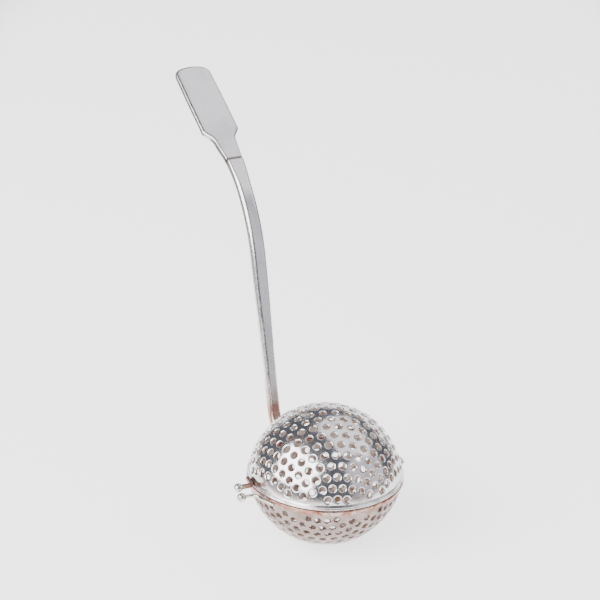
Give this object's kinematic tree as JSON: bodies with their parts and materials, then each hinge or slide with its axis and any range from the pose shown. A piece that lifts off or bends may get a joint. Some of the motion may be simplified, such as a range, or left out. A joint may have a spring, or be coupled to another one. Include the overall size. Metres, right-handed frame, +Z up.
{
  "type": "tea infuser",
  "caption": "Hinged pierced tea ball on a long curved fiddle-pattern handle: the upper half swings open on a side hinge and snaps shut with two small balls.",
  "frame": {"origin": "centre of the ball, on the plane where its two halves meet", "axes": "+Z up, square to the seam plane; +X towards the hinge; -X towards the clasp; +Y is the way the handle stands out"},
  "size_m": [0.0596, 0.1367, 0.1245],
  "materials": {
    "plated_sheet": "polished silver plate on brass sheet, lightly tarnished",
    "worn_rim": "silver plate worn through to copper at the edge",
    "plated_fitting": "silver plate on brass",
    "bare_strip": "bare, browned copper alloy",
    "plated_handle": "silver plate on a nickel brass forging",
    "pin_steel": "drawn wire"
  },
  "bodies": {
    "lower_half": {"lower_bowl": "plated_sheet", "lower_rim_band": "worn_rim", "lower_hinge_leaf": "plated_fitting", "hinge_pin": "pin_steel", "lower_clasp_arm": "plated_fitting", "lower_clasp_ball": "plated_fitting", "handle": "plated_handle"},
    "upper_half": {"upper_dome": "plated_sheet", "upper_rim_band": "worn_rim", "upper_hinge_leaf": "plated_fitting", "upper_clasp_arm": "bare_strip", "upper_clasp_ball": "plated_fitting"}
  },
  "joints": [
    {"name": "lid_hinge", "type": "hinge", "parent": "lower_half", "child": "upper_half", "pos_m": [0.0264, 0, 0], "axis": [0, 1, 0], "range_deg": [0, 160]}
  ]
}
